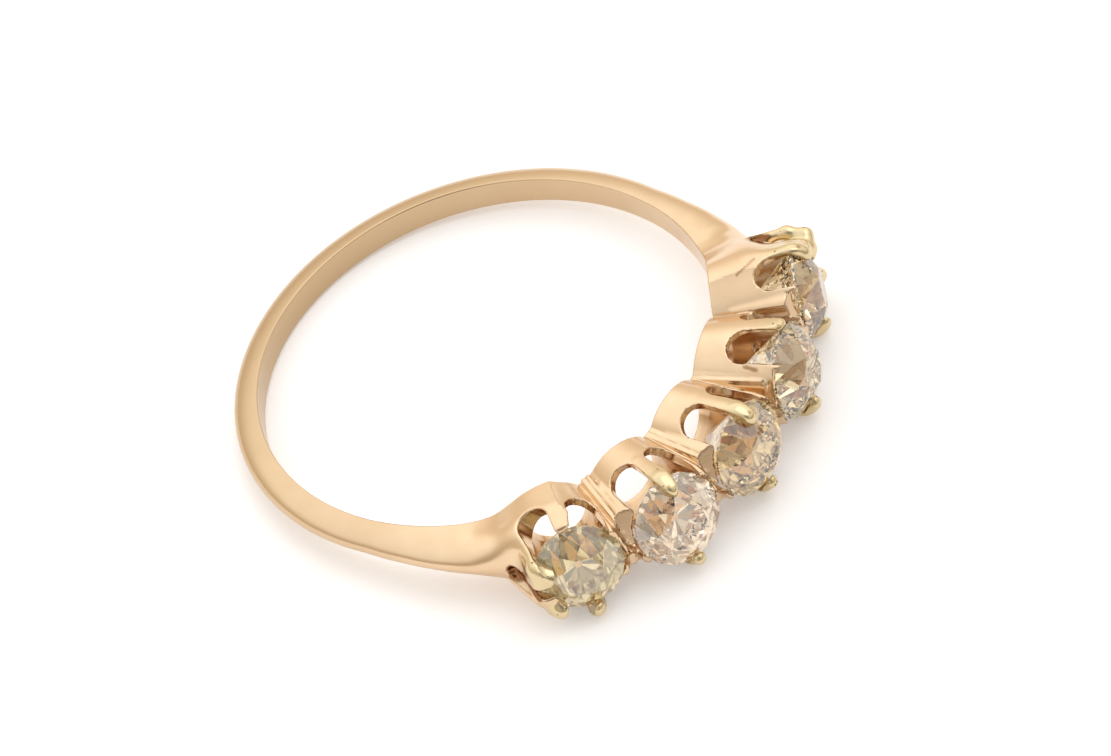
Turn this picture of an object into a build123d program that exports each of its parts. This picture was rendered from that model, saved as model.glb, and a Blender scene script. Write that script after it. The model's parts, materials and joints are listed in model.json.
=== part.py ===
from build123d import *
import os
from math import atan2, cos, degrees, radians, sin, tan

# Five-stone diamond band: a slim gold shank whose shoulders widen into a row of five open cups.
# Six claws on each cup hold an old-cut diamond. The gold is one cast and soldered piece.
# Lengths are in millimetres, angles in degrees.
# The band is drawn about its finger axis, Z, with the middle stone on +X, and is then tipped
# by the few degrees at which it lies on its side by itself.

# Driving dimensions of the shank
finger_radius = 8.5
shank_width = 1.2
shank_thickness = 1.0
shank_crown_rise = 0.58

# Driving dimensions of the shoulders, where they meet the end cups
shoulder_width = 2.4
shoulder_flare = 0.35
shoulder_thickness = 2.1
shoulder_span = 43.0
shoulder_root_inset = 2.0

# Driving dimensions of the cups, for a cup of share 1
cup_pitch = 19.0
cup_base_radius = 1.62
cup_rim_radius = 1.95
cup_rim_height = 2.95
cup_hole_radius = 1.02
cup_hole_depth = 0.8
wall_thickness = 0.45
notch_height = 1.4
outer_notch_height = 1.95

# Driving dimensions of the claws
claw_width = 0.66
claw_height = 3.7
claw_tip_radius = 1.76
claw_bead_radius = 0.31
side_claw_extra = 0.3
side_claw_foot = 2.5
side_claw_slope = 62.0
wire_claw_radius = 0.3

# Driving dimensions of the webs between neighbouring cups
web_radius = 0.32
web_base_rise = 0.72
web_top_rise = 0.95
web_height = 2.75

# Driving dimensions of the stones, for a stone of share 1
stone_diameter = 3.5
girdle_height = 3.1
girdle_thickness = 0.08
table_share = 0.46
crown_angle = 39.0
star_share = 0.42
pavilion_angle = 48.0
lower_half_share = 0.66
culet_share = 0.08
stone_clearance = 0.03

# Columns: place in the row, then shares of the sizes above: base radius, rim radius, notch height
cups = [
    (-2, 0.84, 0.99, 1.13),
    (-1, 0.94, 1.00, 1.00),
    (0, 1.00, 1.00, 0.96),
    (1, 1.00, 1.03, 0.90),
    (2, 0.93, 1.00, 1.20),
]
last_place = max(row[0] for row in cups)

# Columns: place in the row, share of the sizes above, turn of the facets, tip towards the upper
# face of the band, and height of the girdle over girdle_height
stones = [
    (-2, 0.94, 9.0, 12.0, -0.15),
    (-1, 0.98, 17.0, 15.0, 0.10),
    (0, 1.00, 4.0, 7.0, 0.0),
    (1, 1.00, 12.0, 3.0, 0.0),
    (2, 0.95, 20.0, 0.0, 0.0),
]

# Angles of the hand-cut claws about each cup, from the upper face of the band towards the next cup
claw_angles = {
    -2: (-3, 60, 120, 180, 238, 299),
    -1: (3, 62, 120, 182, 240, 303),
    0: (6, 66, 124, 182, 240, 306),
    1: (13, 70, 126, 186, 244, 314),
    2: (16, 62, 120, 188, 250, 314),
}

# Columns: place in the row, index of a claw that is broken or worn, length that it has lost
worn_claws = [
    (-2, 0, 1.45),
    (1, 0, 0.45),
]

# Claws of round wire that stand against the wall of a cup
# Columns: place in the row, index of the claw, heights of its foot, knee and tip above the finger,
# then distances of its foot, knee and tip from the cup's axis
wire_claws = [
    (-2, 5, 2.2, 3.2, 3.62, 1.75, 1.78, 1.30),
    (-1, 3, 2.6, 3.5, 4.0, 1.70, 1.72, 1.50),
    (2, 1, 1.3, 3.2, 3.62, 2.10, 2.25, 1.95),
    (2, 2, 1.3, 3.2, 3.62, 1.95, 2.10, 1.85),
]

# Columns: place of the first of two neighbouring cups, turn of the foot and the head of the web
# from the middle between them
webs = [
    (-2, 0.0, 0.0),
    (-1, 0.0, 0.7),
    (0, 0.5, 1.9),
    (1, 1.3, 1.8),
]

# Columns: share of the way from the end cup to the plain shank, share of the added width,
# share of the flare from the inside to the outside, share of the added thickness
shoulder_sections = [
    (0.000, 0.95, 1.00, 1.00),
    (0.070, 1.00, 1.10, 1.00),
    (0.186, 0.62, 1.40, 0.96),
    (0.279, 0.28, 1.00, 0.89),
    (0.419, 0.06, 0.20, 0.72),
    (0.605, 0.00, 0.00, 0.43),
    (0.791, 0.00, 0.00, 0.18),
    (1.000, 0.00, 0.00, 0.00),
]

# How far cutting and filling tools run past the metal
overrun = 0.5
facet_step = 45.0


def cup_frame(place):
    """Frame with its origin on the finger axis, Z outwards through the cup and X along the finger."""
    angle = radians(place * cup_pitch)
    return Plane(origin=(0, 0, 0), x_dir=(0, 0, 1), z_dir=(cos(angle), sin(angle), 0))


def stone_frame(place, tip, lift):
    """Frame in the middle of a stone's girdle, Z through its table, tipped towards the upper face."""
    return cup_frame(place) * Pos(0, 0, finger_radius + girdle_height + lift) * Rot(0, tip, 0)


def band_section(angle, half_width, flare, thickness):
    """Flat-backed, round-topped section of the band on the radial plane at an angle."""
    turn = radians(angle)
    plane = Plane(origin=(0, 0, 0), x_dir=(cos(turn), sin(turn), 0), z_dir=(-sin(turn), cos(turn), 0))
    inside = finger_radius - overrun
    crest = finger_radius + thickness
    side = crest - shank_crown_rise
    wide = half_width + flare
    outline = Polyline((side, -wide), (inside, -half_width), (inside, half_width), (side, wide))
    outline += ThreePointArc((side, wide), (crest, 0), (side, -wide))
    return plane * make_face(outline)


def make_shoulder(side):
    """Widening stretch of the band from the plain shank to an end cup, on one side (+1 or -1)."""
    root_angle = last_place * cup_pitch + shoulder_root_inset
    sections = []
    for along, widening, flaring, thickening in shoulder_sections:
        angle = side * (root_angle + along * shoulder_span)
        width = shank_width + widening * (shoulder_width - shank_width)
        flare = flaring * shoulder_flare
        thickness = shank_thickness + thickening * (shoulder_thickness - shank_thickness)
        sections.append(band_section(angle, width / 2, flare, thickness))
    return loft(sections)


def make_shank():
    """Plain back of the band, of one section all the way from shoulder to shoulder."""
    start = last_place * cup_pitch + shoulder_root_inset + shoulder_span
    section = band_section(start, shank_width / 2, 0, shank_thickness)
    return revolve(section, axis=Axis.Z, revolution_arc=360 - 2 * start)


def make_cup_body(base_share, rim_share):
    """Outside of one cup and its claws, still solid: a flared wall that turns in at the claw tips."""
    base = base_share * cup_base_radius
    rim = rim_share * cup_rim_radius
    tip = rim_share * claw_tip_radius
    rim_level = finger_radius + cup_rim_height
    tip_level = finger_radius + claw_height
    foot = finger_radius - 2 * overrun
    wall = Polyline((tip, tip_level), (0, tip_level), (0, foot), (base, foot), (base, finger_radius))
    wall += Line((base, finger_radius), (rim, rim_level))
    wall += TangentArc((rim, rim_level), (tip, tip_level), tangent=(rim - base, cup_rim_height))
    return revolve(Plane.XZ * make_face(wall), axis=Axis.Z)


def make_cup_hollow(base_share, rim_share, stone_share):
    """Inside of one cup: a round hole at the finger that opens to the seat of the stone."""
    hole = base_share * cup_hole_radius
    bearing = rim_share * (cup_rim_radius - wall_thickness)
    mouth = stone_share * table_share * stone_diameter / 2 + claw_bead_radius
    outline = Polyline(
        (0, finger_radius - 3 * overrun),
        (hole, finger_radius - 3 * overrun),
        (hole, finger_radius + cup_hole_depth),
        (bearing, finger_radius + girdle_height - wall_thickness),
        (bearing, finger_radius + girdle_height),
        (mouth, finger_radius + girdle_height),
        (mouth, finger_radius + claw_height + overrun),
        (0, finger_radius + claw_height + overrun),
        close=True,
    )
    return revolve(Plane.XZ * make_face(outline), axis=Axis.Z)


def is_side_claw(place, angle):
    """True for a claw that stands beside a neighbouring cup."""
    towards = place + round(sin(radians(angle)))
    return towards != place and abs(towards) <= last_place


def make_claw_ends(place, rim_share):
    """Bead on each free claw, slanting cut on each claw beside a neighbour, and cut on each worn one."""
    rim = rim_share * cup_rim_radius
    tip_level = finger_radius + claw_height
    bead = Pos(rim_share * claw_tip_radius - claw_bead_radius / 3, 0, tip_level - claw_bead_radius / 2)
    slant = Pos(rim, 0, finger_radius + side_claw_foot) * Rot(0, side_claw_slope, 0)
    lost = {index: length for worn_place, index, length in worn_claws if worn_place == place}
    beads = []
    cutters = []
    for index, angle in enumerate(claw_angles[place]):
        turned = Rot(0, 0, -angle)
        if index in lost:
            level = tip_level - lost[index] + rim / 2
            cutters.append(turned * Pos(rim, 0, level) * Box(2 * rim, 2 * claw_width, rim))
        elif is_side_claw(place, angle):
            file = Box(2 * rim, 3 * claw_width, rim)
            cutters.append(turned * slant * Pos(-rim / 2, 0, rim / 2) * file)
            cutters.append(turned * Pos(rim, 0, finger_radius + girdle_height + rim / 2) * file)
        else:
            beads.append(turned * bead * Sphere(claw_bead_radius))
    return beads, cutters


def make_wire_claw(angle, levels, distances):
    """Bent round claw through a foot, a knee and a tip at these levels and distances from the axis."""
    foot, knee, tip = [Vector(far, 0, finger_radius + level) for far, level in zip(distances, levels)]
    claw = Pos(knee) * Sphere(wire_claw_radius) + Pos(tip) * Sphere(wire_claw_radius)
    for start, end in ((foot, knee), (knee, tip)):
        path = end - start
        claw += Plane(origin=start, z_dir=path) * extrude(Circle(wire_claw_radius), amount=path.length)
    return Rot(0, 0, -angle) * claw


def make_notch(angle, width, reach, height):
    """Round-bottomed cut through the wall of a cup, centred on an angle."""
    bottom = finger_radius + height + width / 2
    top = finger_radius + claw_height + overrun
    rounded = Pos(reach / 2, 0, bottom) * Rot(0, 90, 0) * Cylinder(width / 2, reach)
    straight = Pos(reach / 2, 0, (bottom + top) / 2) * Box(reach, width, top - bottom)
    return Rot(0, 0, -angle) * (rounded + straight)


def make_notches(place, rim_share, notch_share, outer_side):
    """Cuts between the claws of one cup, either those on the shoulder's side or all the others."""
    rim = rim_share * cup_rim_radius
    angles = claw_angles[place]
    notches = []
    for start, end in zip(angles, angles[1:] + (angles[0] + 360,)):
        middle = (start + end) / 2
        width = 2 * rim * sin(radians(end - start) / 2) - claw_width
        if is_side_claw(place, start) and is_side_claw(place, end):
            width -= 2 * side_claw_extra
        away = abs(place) == last_place and place * sin(radians(middle)) > 0
        if away != outer_side:
            continue
        faces_shoulder = away and abs(cos(radians(middle))) < 0.5
        height = outer_notch_height if faces_shoulder else notch_share * notch_height
        notches.append(make_notch(middle, width, rim + (2 * overrun if away else overrun), height))
    return notches


def make_cup(place, base_share, rim_share, notch_share):
    """One cup with its claws, still without the hollow inside it."""
    beads, cutters = make_claw_ends(place, rim_share)
    cup = make_cup_body(base_share, rim_share)
    cup -= make_notches(place, rim_share, notch_share, outer_side=False)
    cup -= cutters
    cup += beads
    return cup_frame(place) * cup


def make_web(place, foot_turn, head_turn, side):
    """Round rib in the groove between a cup and the next, on one face of the band (+1 or -1)."""
    foot_frame = cup_frame(place + 0.5 + foot_turn / cup_pitch)
    head_frame = cup_frame(place + 0.5 + head_turn / cup_pitch)
    foot = foot_frame.from_local_coords(Vector(side * web_base_rise, 0, finger_radius))
    head = head_frame.from_local_coords(Vector(side * web_top_rise, 0, finger_radius + web_height))
    start = foot - (head - foot) * (overrun / web_height)
    path = head - start
    return Plane(origin=start, z_dir=path) * extrude(Circle(web_radius), amount=path.length)


def stone_sizes(share):
    """Radii and heights of one stone's rings of corners, above and below its girdle."""
    radius = share * stone_diameter / 2
    table = table_share * radius
    culet = culet_share * radius
    half_step = radians(facet_step / 2)
    girdle_top = girdle_thickness / 2
    table_height = girdle_top + (radius - table) * tan(radians(crown_angle))
    star = table + star_share * (radius - table)
    star_height = girdle_top + (radius - star * cos(half_step)) * tan(radians(crown_angle))
    lower = radius - lower_half_share * (radius - culet)
    lower_depth = girdle_top + (radius - lower * cos(half_step)) * tan(radians(pavilion_angle))
    culet_depth = girdle_top + (radius - culet * cos(half_step)) * tan(radians(pavilion_angle))
    return {
        "table": (table, table_height),
        "star": (star, star_height),
        "girdle_top": (radius, girdle_top),
        "girdle_bottom": (radius, -girdle_top),
        "lower": (lower, -lower_depth),
        "culet": (culet, -culet_depth),
    }


def make_stone(share):
    """Old-cut brilliant about Z, with the middle of its girdle at the origin."""
    sizes = stone_sizes(share)

    def corner(ring, steps):
        radius, height = sizes[ring]
        angle = radians(steps * facet_step)
        return Vector(radius * cos(angle), radius * sin(angle), height)

    mains = round(360 / facet_step)
    table = [corner("table", i) for i in range(mains)]
    culet = [corner("culet", -i - 0.5) for i in range(mains)]
    facets = [table, culet]
    for i in range(mains):
        facets += [
            [corner("table", i), corner("star", i - 0.5), corner("girdle_top", i), corner("star", i + 0.5)],
            [corner("table", i), corner("star", i + 0.5), corner("table", i + 1)],
            [
                corner("girdle_bottom", i),
                corner("lower", i - 0.5),
                corner("culet", i - 0.5),
                corner("culet", i + 0.5),
                corner("lower", i + 0.5),
            ],
        ]
        for near, far in ((i, i + 0.5), (i + 0.5, i + 1)):
            facets += [
                [corner("star", i + 0.5), corner("girdle_top", near), corner("girdle_top", far)],
                [corner("lower", i + 0.5), corner("girdle_bottom", far), corner("girdle_bottom", near)],
                [
                    corner("girdle_top", near),
                    corner("girdle_bottom", near),
                    corner("girdle_bottom", far),
                    corner("girdle_top", far),
                ],
            ]
    faces = [Face(Wire.make_polygon(facet, close=True)) for facet in facets]
    return Solid(Shell(faces))


def make_stone_seat(share):
    """Round space that one stone needs in its cup, larger than the stone by the clearance."""
    sizes = stone_sizes(share)
    grown = [(radius + 2 * stone_clearance, height) for radius, height in sizes.values()]
    table, star, girdle_top, girdle_bottom, lower, culet = grown
    outline = Polyline(
        (0, table[1] + stone_clearance),
        (table[0], table[1] + stone_clearance),
        (star[0], star[1]),
        (girdle_top[0], girdle_top[1] + stone_clearance),
        (girdle_bottom[0], girdle_bottom[1] - stone_clearance),
        (lower[0], lower[1]),
        (culet[0], culet[1] - stone_clearance),
        (0, culet[1] - stone_clearance),
        close=True,
    )
    return revolve(Plane.XZ * make_face(outline), axis=Axis.Z)


def resting_tilt():
    """Angle at which the claws of the head and the back of the shank lie on one flat surface."""
    back = finger_radius + shank_thickness - shank_crown_rise
    level = finger_radius + cup_rim_height
    tilts = []
    for place, base_share, rim_share, notch_share in cups:
        turn = radians(place * cup_pitch)
        for angle in claw_angles[place]:
            drop = -rim_share * cup_rim_radius * cos(radians(angle))
            aside = rim_share * cup_rim_radius * sin(radians(angle))
            reach = level * cos(turn) - aside * sin(turn)
            tilts.append(atan2(drop - shank_width / 2, reach + back))
    return degrees(max(tilts))


def make_band():
    """All the gold: shank, shoulders, cups, webs and claws in one solid."""
    gold = make_shank() + make_shoulder(1) + make_shoulder(-1)
    for place, base_share, rim_share, notch_share in cups:
        gold += make_cup(place, base_share, rim_share, notch_share)
    for place, foot_turn, head_turn in webs:
        gold += [make_web(place, foot_turn, head_turn, side) for side in (1, -1)]
    for place, base_share, rim_share, notch_share in cups:
        notches = make_notches(place, rim_share, notch_share, outer_side=True)
        gold -= [cup_frame(place) * notch for notch in notches]
    for place, index, *sizes in wire_claws:
        angle = claw_angles[place][index]
        gold += cup_frame(place) * make_wire_claw(angle, sizes[:3], sizes[3:])
    for cup, stone in zip(cups, stones):
        place, base_share, rim_share, notch_share = cup
        place, stone_share, turn, tip, lift = stone
        gold -= cup_frame(place) * make_cup_hollow(base_share, rim_share, stone_share)
        gold -= stone_frame(place, tip, lift) * make_stone_seat(stone_share)
    return gold - Cylinder(finger_radius, 4 * cup_rim_radius)


def save(shape, name):
    """Tip a piece to the way the band lies and write it."""
    export_step(Rot(0, -resting_tilt(), 0) * shape, "parts/" + name + ".step")


os.makedirs("parts", exist_ok=True)
band = make_band()
save(band, "band")
print("band", len(band.solids()), "solid", round(band.volume, 2), "mm3, tilt", round(resting_tilt(), 2))
for number, (place, share, turn, tip, lift) in enumerate(stones, start=1):
    stone = stone_frame(place, tip, lift) * Rot(0, 0, turn) * make_stone(share)
    save(stone, "stone_" + str(number))
    print("stone", number, round(stone.volume, 3), "mm3")
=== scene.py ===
# %% [markdown]
# # A worn five-stone diamond band
#
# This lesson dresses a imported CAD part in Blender. The part is a slim gold ring, which lies on
# its side on a white table. Its shoulders widen into five open cups, and six claws on each cup
# hold an old-cut diamond. The CAD has the real sizes, in metres. Blender adds what the eye looks
# for in a jewel: soft edges, worn claws, grime in the grooves, brown in the hollows, and light
# that bends in the stones.

import json
from math import atan2, cos, degrees, pi, radians, sin

import bpy
import numpy as np
from mathutils import Matrix, Vector


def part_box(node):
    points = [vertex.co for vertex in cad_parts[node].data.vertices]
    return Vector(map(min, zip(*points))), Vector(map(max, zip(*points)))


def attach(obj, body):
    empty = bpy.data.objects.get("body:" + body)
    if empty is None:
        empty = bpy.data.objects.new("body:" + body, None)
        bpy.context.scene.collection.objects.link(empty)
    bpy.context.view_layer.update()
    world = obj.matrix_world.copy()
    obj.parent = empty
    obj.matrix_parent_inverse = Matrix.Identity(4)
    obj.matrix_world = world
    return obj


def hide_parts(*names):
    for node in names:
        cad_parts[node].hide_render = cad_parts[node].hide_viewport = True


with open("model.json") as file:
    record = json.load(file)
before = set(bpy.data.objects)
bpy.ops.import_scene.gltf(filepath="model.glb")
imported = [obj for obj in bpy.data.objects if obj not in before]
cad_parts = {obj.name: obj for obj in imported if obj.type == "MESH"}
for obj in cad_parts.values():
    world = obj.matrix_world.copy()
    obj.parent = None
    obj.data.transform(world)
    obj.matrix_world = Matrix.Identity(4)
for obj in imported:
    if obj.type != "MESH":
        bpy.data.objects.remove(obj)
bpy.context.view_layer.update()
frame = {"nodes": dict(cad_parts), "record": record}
print("CAD nodes:", sorted(frame["nodes"]))

# %% [markdown]
# ## The band's own axes
#
# A ring is easiest to describe about its finger axis. The maker of this band would also think
# of it that way. So everything here is first worked out in millimetres with the finger axis on
# Z and the middle stone on +X, and then tipped by the few degrees at which the band lies. The
# record holds the tipped axis of the finger hole, so the angle is read from there.

# %% Tip the band as it lies
finger_axis = frame["record"]["mounts"][0]["axis"]
resting_tilt = atan2(-finger_axis[0], finger_axis[2])


def lay_down(points):
    """Points about the finger axis in millimetres, tipped as the band lies and in metres."""
    x, y, z = np.asarray(points, float).T
    tipped_x = x * cos(resting_tilt) - z * sin(resting_tilt)
    tipped_z = x * sin(resting_tilt) + z * cos(resting_tilt)
    return np.stack([tipped_x, y, tipped_z], axis=-1) * 0.001


print("the band lies tipped by", round(degrees(resting_tilt), 2), "degrees")

# %% [markdown]
# ## Sizes
#
# Sizes are in millimetres and degrees. Most are the CAD's own. The walls are thinner here than in
# the solid, and some notches, claws and webs are given more closely, where the photograph shows
# more than a plain solid needs. The cups are one design, repeated by hand, so tables give what
# differs from cup to cup.

# %% Name the sizes
finger_radius = 8.5
cup_pitch = 19.0
cup_base_radius = 1.62
cup_rim_radius = 1.95
cup_rim_height = 2.95
cup_hole_radius = 1.28
cup_hole_depth = 0.4
wall_thickness = 0.27
notch_height = 1.4
outer_notch_height = 1.95
claw_width = 0.66
claw_height = 3.7
claw_tip_radius = 1.76
side_claw_foot = 2.45
side_claw_slope = 78.0
side_claw_turn = 0.4
side_notch_width = 0.6
side_notch_turn = 14.0
stone_radius = 1.75
girdle_height = 3.1
crown_angle = 39.0
pavilion_angle = 48.0
stone_clearance = 0.03

# Columns: place in the row, shares of base radius, rim radius and notch height, and the share by
# which the cup is longer towards the next one
cups = [
    (-2, 0.84, 0.99, 0.80, 0.0),
    (-1, 0.94, 1.00, 0.74, 0.0),
    (0, 1.00, 1.00, 0.80, 0.0),
    (1, 1.00, 1.03, 0.82, 0.16),
    (2, 0.93, 1.00, 1.18, 0.0),
]
last_place = 2

# By place: share of the stone's radius, how far it is tipped towards the upper face in degrees,
# and how much higher than usual it sits
stones = {-2: (0.94, 12, -0.15), -1: (0.98, 15, 0.10), 0: (1, 7, 0), 1: (1, 3, 0), 2: (0.95, 0, 0)}

print(len(cups), "cups of about", round(2 * cup_rim_radius, 1), "mm,", len(stones), "stones")

# %% [markdown]
# ## Gold as a field of distances
#
# The real band was soldered and then cut with files and burrs, and long wear has rounded every
# edge. Modelling that as polygons would need a bevel on each of some four hundred edges. Geometry
# Nodes could repeat one cup, but no two cups are alike here, and their gold runs from one into
# the next. A field of distances does it all in one go: a function gives, for any point, how far
# it is from the metal, with a minus sign inside. Two shapes are joined by taking the smaller
# distance, and one is cut from another by taking the larger. If the change from one to the other
# is softened, the edge gets a fillet, as solder or wear leaves it.

# %% Join and cut with soft edges


def join(first, second, fillet):
    """Distance to two shapes together, with a fillet of about this width where they meet."""
    blend = np.maximum(fillet - np.abs(first - second), 0) / fillet
    return np.minimum(first, second) - blend * blend * fillet / 4


def keep_inside(first, second, edge):
    """Distance to what two shapes share, with edges softened over this width."""
    return -join(-first, -second, edge)


def cut(shape, tool, edge):
    """Distance to a shape after a tool has cut it, with edges softened over this width."""
    return keep_inside(shape, -tool, edge)


def rod(points, start, end, start_radius, end_radius=None):
    """Distance to a round-ended rod between two points, which may be tapered."""
    start = np.asarray(start, float)
    along = np.asarray(end, float) - start
    share = np.clip((points - start) @ along / (along @ along), 0, 1)
    growth = 0 if end_radius is None else end_radius - start_radius
    return np.linalg.norm(points - start - share[:, None] * along, axis=1) - start_radius - share * growth


def ease(values, low, high):
    """0 below low, 1 above high and a smooth curve in between."""
    share = np.clip((values - low) / (high - low), 0, 1)
    return share * share * (3 - 2 * share)


corner = np.zeros(1)
print("a fillet of 0.4 mm fills a corner by", round(float(-join(corner, corner, 0.4)[0]), 2), "mm")

# %% [markdown]
# ## The hoop
#
# The shank is flat inside and domed outside, and it grows wider and thicker towards the head.
# A table of sections says how. Straight lines between its rows would show as creases in a
# polished surface, so the table is drawn out finely and each column is smoothed with a sliding
# average, much as a file passed along the shank would do.

# %% Smooth the sections of the hoop
# Columns: angle from the middle of the row, half-width inside and outside, thickness
hoop_sections = [
    (0, 1.15, 1.52, 2.10),
    (43, 1.20, 1.58, 2.10),
    (48, 0.97, 1.46, 2.06),
    (52, 0.77, 1.12, 1.98),
    (58, 0.63, 0.70, 1.79),
    (66, 0.60, 0.60, 1.47),
    (74, 0.60, 0.60, 1.19),
    (83, 0.60, 0.60, 1.00),
    (180, 0.60, 0.60, 1.00),
]
fine_angles = np.arange(0, 181, 0.5)
smoothing = np.hanning(15) / np.hanning(15).sum()


def smooth_column(column):
    """One column of the table of sections, drawn out over the fine angles and smoothed."""
    rows = np.array(hoop_sections)
    values = np.interp(fine_angles, rows[:, 0], rows[:, column])
    padded = np.pad(values, len(smoothing) // 2, mode="edge")
    return np.convolve(padded, smoothing, mode="valid")


hoop_columns = [smooth_column(column) for column in (1, 2, 3)]
print("shoulder", round(hoop_columns[2][90], 2), "mm thick at 45 degrees")

# %% Draw the hoop
crown_rise = 0.58
crown_limit = 1.4
crown_edge = 0.45
hoop_end = last_place * cup_pitch + 1.5


def hoop_distance(points):
    """Distance to the shank and shoulders, which end inside the end cups."""
    x, y, z = points.T
    radius = np.hypot(x, y)
    angle = np.degrees(np.abs(np.arctan2(y, x)))
    inside, outside, thickness = [np.interp(angle, fine_angles, row) for row in hoop_columns]
    rise = np.clip((radius - finger_radius) / thickness, 0, 1)
    side = np.abs(z) - inside - rise * (outside - inside)
    dome = crown_rise * np.minimum(np.abs(z) / outside, crown_limit) ** 2
    steepness = np.hypot(1, 2 * crown_rise * np.minimum(np.abs(z), outside) / outside**2)
    crown = (radius - finger_radius - thickness + dome) / steepness
    end = (hoop_end - angle) * radius * pi / 180
    return np.maximum(keep_inside(side, crown, crown_edge), end)


back_of_shank = np.array([[-finger_radius - 0.5, 0, 0]])
print("middle of the shank:", round(float(hoop_distance(back_of_shank)[0]), 2), "mm from its surface")

# %% [markdown]
# ## The cups
#
# Each cup is a flared tube that stands on the finger. Its wall turns in over the stone at the
# top. A hollow runs down through it to let light in behind the stone, and round-bottomed
# notches between the claws do the same from the sides. A point is first given in the cup's own
# terms: its height above the finger, and how far it lies from the cup's axis towards the next
# cup and towards the upper face of the band.

# %% Describe a point by its cup


def cup_terms(points, place):
    """Height above the finger, and distance from the cup's axis along and across the row."""
    turn = radians(place * cup_pitch)
    height = points[:, 0] * cos(turn) + points[:, 1] * sin(turn) - finger_radius
    along = points[:, 1] * cos(turn) - points[:, 0] * sin(turn)
    return height, along, points[:, 2]


def claw_terms(along, across, angle):
    """Distance from the cup's axis towards an angle about it, and sideways from that line."""
    turn = radians(angle)
    return along * sin(turn) + across * cos(turn), along * cos(turn) - across * sin(turn)


axis_height = cup_terms(np.zeros((1, 3)), 0)[0][0]
print("in a cup's terms, the finger axis lies at a height of", axis_height, "mm")

# %% Shape the wall, the hollow and the seat
curl_start = 2.6
top_edge = 0.3
girdle_half = 0.05

# On a slope the sideways distance is more than the real one, so it is shortened by this share
slope_share = 0.85


def wall_radius(height, base, rim):
    """Outside radius of a cup at a height: a straight flare that curls in over the stone."""
    flare = (rim - base) / cup_rim_height
    curl = base + flare * claw_height - claw_tip_radius * rim / cup_rim_radius
    share = np.maximum(height - curl_start, 0) / (claw_height - curl_start)
    return base + flare * height - curl * share**2


def cup_distance(height, along, across, base, rim):
    """Distance to a cup that is still solid and has no notches."""
    wall = np.hypot(along, across) - wall_radius(height, base, rim)
    return keep_inside(wall, height - claw_height, top_edge)


def hollow_distance(height, along, across, base_share, rim):
    """Distance to the hollow of a cup: a round hole that opens towards the stone."""
    bearing = rim - wall_thickness
    levels = (cup_hole_depth, girdle_height - wall_thickness)
    inside = np.interp(height, levels, (base_share * cup_hole_radius, bearing))
    return np.maximum(slope_share * (np.hypot(along, across) - inside), height - girdle_height)


def seat_distance(height, along, across, place):
    """Distance to the space that a stone needs: two cones that meet at its girdle."""
    share, tip, lift = stones[place]
    rise = height - girdle_height - lift
    level = rise * cos(radians(tip)) + across * sin(radians(tip))
    upwards = across * cos(radians(tip)) - rise * sin(radians(tip))
    sideways = np.hypot(along, upwards) - share * stone_radius - stone_clearance
    crown, pavilion = radians(crown_angle), radians(pavilion_angle)
    above = (level - girdle_half) * cos(crown) + sideways * sin(crown)
    below = (-girdle_half - level) * cos(pavilion) + sideways * sin(pavilion)
    return np.maximum.reduce([sideways, above, below]) - stone_clearance


middle_rim = float(wall_radius(cup_rim_height, cup_base_radius, cup_rim_radius))
print("outside radius of the middle cup at its rim:", round(middle_rim, 2), "mm")

# %% [markdown]
# ## Notches and claws
#
# What stays between two notches is a claw. Claws on the upper and lower face end in a rounded
# finger of gold that was pushed over the stone. Claws beside the next cup have no room for
# that, so their tops were filed off on a slant. Two of the upper claws have worn or broken away,
# and three beside the shoulders were mended with bent wire. The notches beside the shoulders are
# narrow and shallow, because they were cut into the thick end of the shank.

# %% Plan the notches
# Angles of the claws about each cup, from the upper face of the band towards the next cup
claw_angles = {
    -2: (-3, 60, 120, 178, 228, 299),
    -1: (3, 62, 120, 182, 240, 303),
    0: (6, 66, 124, 182, 240, 306),
    1: (13, 70, 126, 186, 244, 314),
    2: (16, 67, 120, 188, 250, 314),
}

# Narrow, shallow notches beside the shoulders, by place and angle of their first claw: their own
# angle, width and height
shoulder_notches = {(-2, 228): (270, 0.5, 3.0), (2, 16): (42, 0.3, 3.2), (2, 67): (93, 0.6, 3.1)}

# How far from the cup's axis a notch starts, and how far past the rim it ends
notch_start = 0.2
notch_reach = 0.5
outer_notch_reach = 1.0

# A notch towards a shoulder is shallow within 30 degrees of the line of the row
shallow_cosine = 0.5


def is_side_claw(place, angle):
    """True for a claw that stands beside a neighbouring cup."""
    towards = place + round(sin(radians(angle)))
    return towards != place and abs(towards) <= last_place


def notches_of(place, rim, notch_share):
    """Angle, width and height of each notch of a cup, and whether it faces the shoulder."""
    angles = claw_angles[place]
    notches = []
    for start, end in zip(angles, angles[1:] + (angles[0] + 360,)):
        middle = (start + end) / 2
        width = 2 * rim * sin(radians(end - start) / 2) - claw_width
        if is_side_claw(place, start) and is_side_claw(place, end):
            width = side_notch_width
            middle += side_notch_turn * (1 if middle < 180 else -1)
        outer = abs(place) == last_place and place * sin(radians(middle)) > 0
        shallow = outer and abs(cos(radians(middle))) < shallow_cosine
        height = outer_notch_height if shallow else notch_share * notch_height
        middle, width, height = shoulder_notches.get((place, start), (middle, width, height))
        notches.append((middle, width, height, outer))
    return notches


def notch_distance(height, along, across, rim, notch):
    """Distance to the tool that cuts one notch, which is round at the bottom."""
    middle, width, bottom, outer = notch
    outwards, sideways = claw_terms(along, across, middle)
    below = np.minimum(height - bottom - width / 2, 0)
    reach = rim + (outer_notch_reach if outer else notch_reach)
    slot = np.hypot(sideways, below) - width / 2
    return np.maximum.reduce([slot, notch_start - outwards, outwards - reach])


count = sum(len(notches_of(place, cup_rim_radius, 1.0)) for place in claw_angles)
print(count, "notches between", sum(len(row) for row in claw_angles.values()), "claws")

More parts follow.
